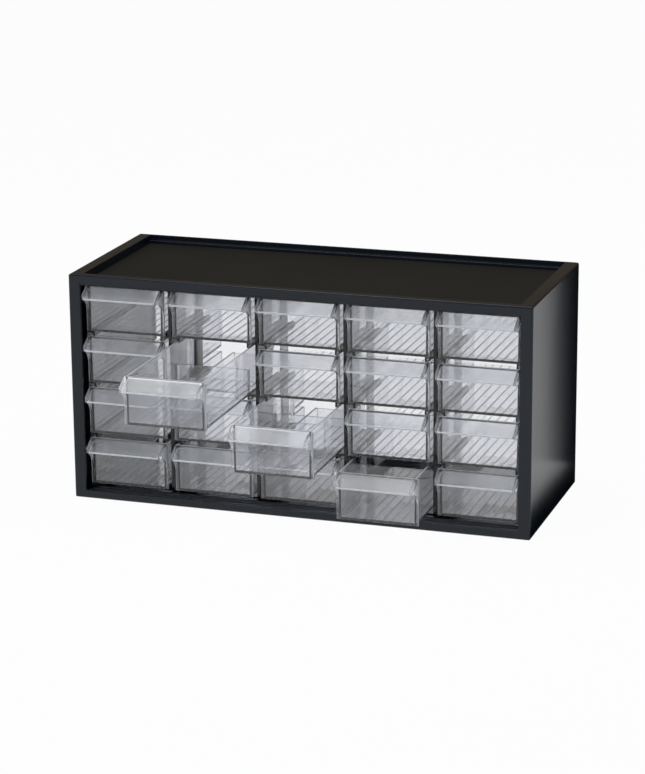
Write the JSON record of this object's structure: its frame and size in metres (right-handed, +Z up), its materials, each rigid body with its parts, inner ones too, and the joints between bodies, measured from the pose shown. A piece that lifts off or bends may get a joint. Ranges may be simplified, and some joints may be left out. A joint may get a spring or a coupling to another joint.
{
  "type": "parts bin cabinet",
  "caption": "Desktop parts cabinet: black moulded casing with an open back and a tray in its top, holding columns of clear sliding drawers with sloping lip pulls.",
  "frame": {"origin": "middle of the casing's resting face", "axes": "+X to the right across the front, +Y from the front to the open back, +Z up; the drawers slide out along -Y"},
  "size_m": [0.445, 0.304, 0.218],
  "materials": {
    "casing_plastic": "satin black moulded plastic",
    "clear_plastic": "clear, slightly grey moulded plastic"
  },
  "bodies": {
    "cabinet": {"casing": "casing_plastic", "partition_1": "casing_plastic", "partition_2": "casing_plastic", "partition_3": "casing_plastic", "partition_4": "casing_plastic", "guide_left": "casing_plastic", "guide_right": "casing_plastic"},
    "drawer_body_r1_c1": {"drawer_r1_c1": "clear_plastic"},
    "drawer_body_r1_c2": {"drawer_r1_c2": "clear_plastic"},
    "drawer_body_r1_c3": {"drawer_r1_c3": "clear_plastic"},
    "drawer_body_r1_c4": {"drawer_r1_c4": "clear_plastic"},
    "drawer_body_r1_c5": {"drawer_r1_c5": "clear_plastic"},
    "drawer_body_r2_c1": {"drawer_r2_c1": "clear_plastic"},
    "drawer_body_r2_c2": {"drawer_r2_c2": "clear_plastic", "divider_r2_c2": "clear_plastic"},
    "drawer_body_r2_c3": {"drawer_r2_c3": "clear_plastic"},
    "drawer_body_r2_c4": {"drawer_r2_c4": "clear_plastic"},
    "drawer_body_r2_c5": {"drawer_r2_c5": "clear_plastic"},
    "drawer_body_r3_c1": {"drawer_r3_c1": "clear_plastic"},
    "drawer_body_r3_c2": {"drawer_r3_c2": "clear_plastic"},
    "drawer_body_r3_c3": {"drawer_r3_c3": "clear_plastic", "divider_r3_c3": "clear_plastic"},
    "drawer_body_r3_c4": {"drawer_r3_c4": "clear_plastic"},
    "drawer_body_r3_c5": {"drawer_r3_c5": "clear_plastic"},
    "drawer_body_r4_c1": {"drawer_r4_c1": "clear_plastic"},
    "drawer_body_r4_c2": {"drawer_r4_c2": "clear_plastic"},
    "drawer_body_r4_c3": {"drawer_r4_c3": "clear_plastic"},
    "drawer_body_r4_c4": {"drawer_r4_c4": "clear_plastic"},
    "drawer_body_r4_c5": {"drawer_r4_c5": "clear_plastic"}
  },
  "joints": [
    {"name": "drawer_slide_r1_c1", "type": "slide", "parent": "cabinet", "child": "drawer_body_r1_c1", "axis": [0, -1, 0], "range_m": [0, 0.125]},
    {"name": "drawer_slide_r1_c2", "type": "slide", "parent": "cabinet", "child": "drawer_body_r1_c2", "axis": [0, -1, 0], "range_m": [0, 0.125]},
    {"name": "drawer_slide_r1_c3", "type": "slide", "parent": "cabinet", "child": "drawer_body_r1_c3", "axis": [0, -1, 0], "range_m": [0, 0.125]},
    {"name": "drawer_slide_r1_c4", "type": "slide", "parent": "cabinet", "child": "drawer_body_r1_c4", "axis": [0, -1, 0], "range_m": [0, 0.125]},
    {"name": "drawer_slide_r1_c5", "type": "slide", "parent": "cabinet", "child": "drawer_body_r1_c5", "axis": [0, -1, 0], "range_m": [0, 0.125]},
    {"name": "drawer_slide_r2_c1", "type": "slide", "parent": "cabinet", "child": "drawer_body_r2_c1", "axis": [0, -1, 0], "range_m": [0, 0.125]},
    {"name": "drawer_slide_r2_c2", "type": "slide", "parent": "cabinet", "child": "drawer_body_r2_c2", "axis": [0, -1, 0], "range_m": [-0.121, 0.004]},
    {"name": "drawer_slide_r2_c3", "type": "slide", "parent": "cabinet", "child": "drawer_body_r2_c3", "axis": [0, -1, 0], "range_m": [0, 0.125]},
    {"name": "drawer_slide_r2_c4", "type": "slide", "parent": "cabinet", "child": "drawer_body_r2_c4", "axis": [0, -1, 0], "range_m": [0, 0.125]},
    {"name": "drawer_slide_r2_c5", "type": "slide", "parent": "cabinet", "child": "drawer_body_r2_c5", "axis": [0, -1, 0], "range_m": [0, 0.125]},
    {"name": "drawer_slide_r3_c1", "type": "slide", "parent": "cabinet", "child": "drawer_body_r3_c1", "axis": [0, -1, 0], "range_m": [0, 0.125]},
    {"name": "drawer_slide_r3_c2", "type": "slide", "parent": "cabinet", "child": "drawer_body_r3_c2", "axis": [0, -1, 0], "range_m": [0, 0.125]},
    {"name": "drawer_slide_r3_c3", "type": "slide", "parent": "cabinet", "child": "drawer_body_r3_c3", "axis": [0, -1, 0], "range_m": [-0.079, 0.046]},
    {"name": "drawer_slide_r3_c4", "type": "slide", "parent": "cabinet", "child": "drawer_body_r3_c4", "axis": [0, -1, 0], "range_m": [0, 0.125]},
    {"name": "drawer_slide_r3_c5", "type": "slide", "parent": "cabinet", "child": "drawer_body_r3_c5", "axis": [0, -1, 0], "range_m": [0, 0.125]},
    {"name": "drawer_slide_r4_c1", "type": "slide", "parent": "cabinet", "child": "drawer_body_r4_c1", "axis": [0, -1, 0], "range_m": [0, 0.125]},
    {"name": "drawer_slide_r4_c2", "type": "slide", "parent": "cabinet", "child": "drawer_body_r4_c2", "axis": [0, -1, 0], "range_m": [0, 0.125]},
    {"name": "drawer_slide_r4_c3", "type": "slide", "parent": "cabinet", "child": "drawer_body_r4_c3", "axis": [0, -1, 0], "range_m": [0, 0.125]},
    {"name": "drawer_slide_r4_c4", "type": "slide", "parent": "cabinet", "child": "drawer_body_r4_c4", "axis": [0, -1, 0], "range_m": [-0.036, 0.089]},
    {"name": "drawer_slide_r4_c5", "type": "slide", "parent": "cabinet", "child": "drawer_body_r4_c5", "axis": [0, -1, 0], "range_m": [0, 0.125]}
  ]
}
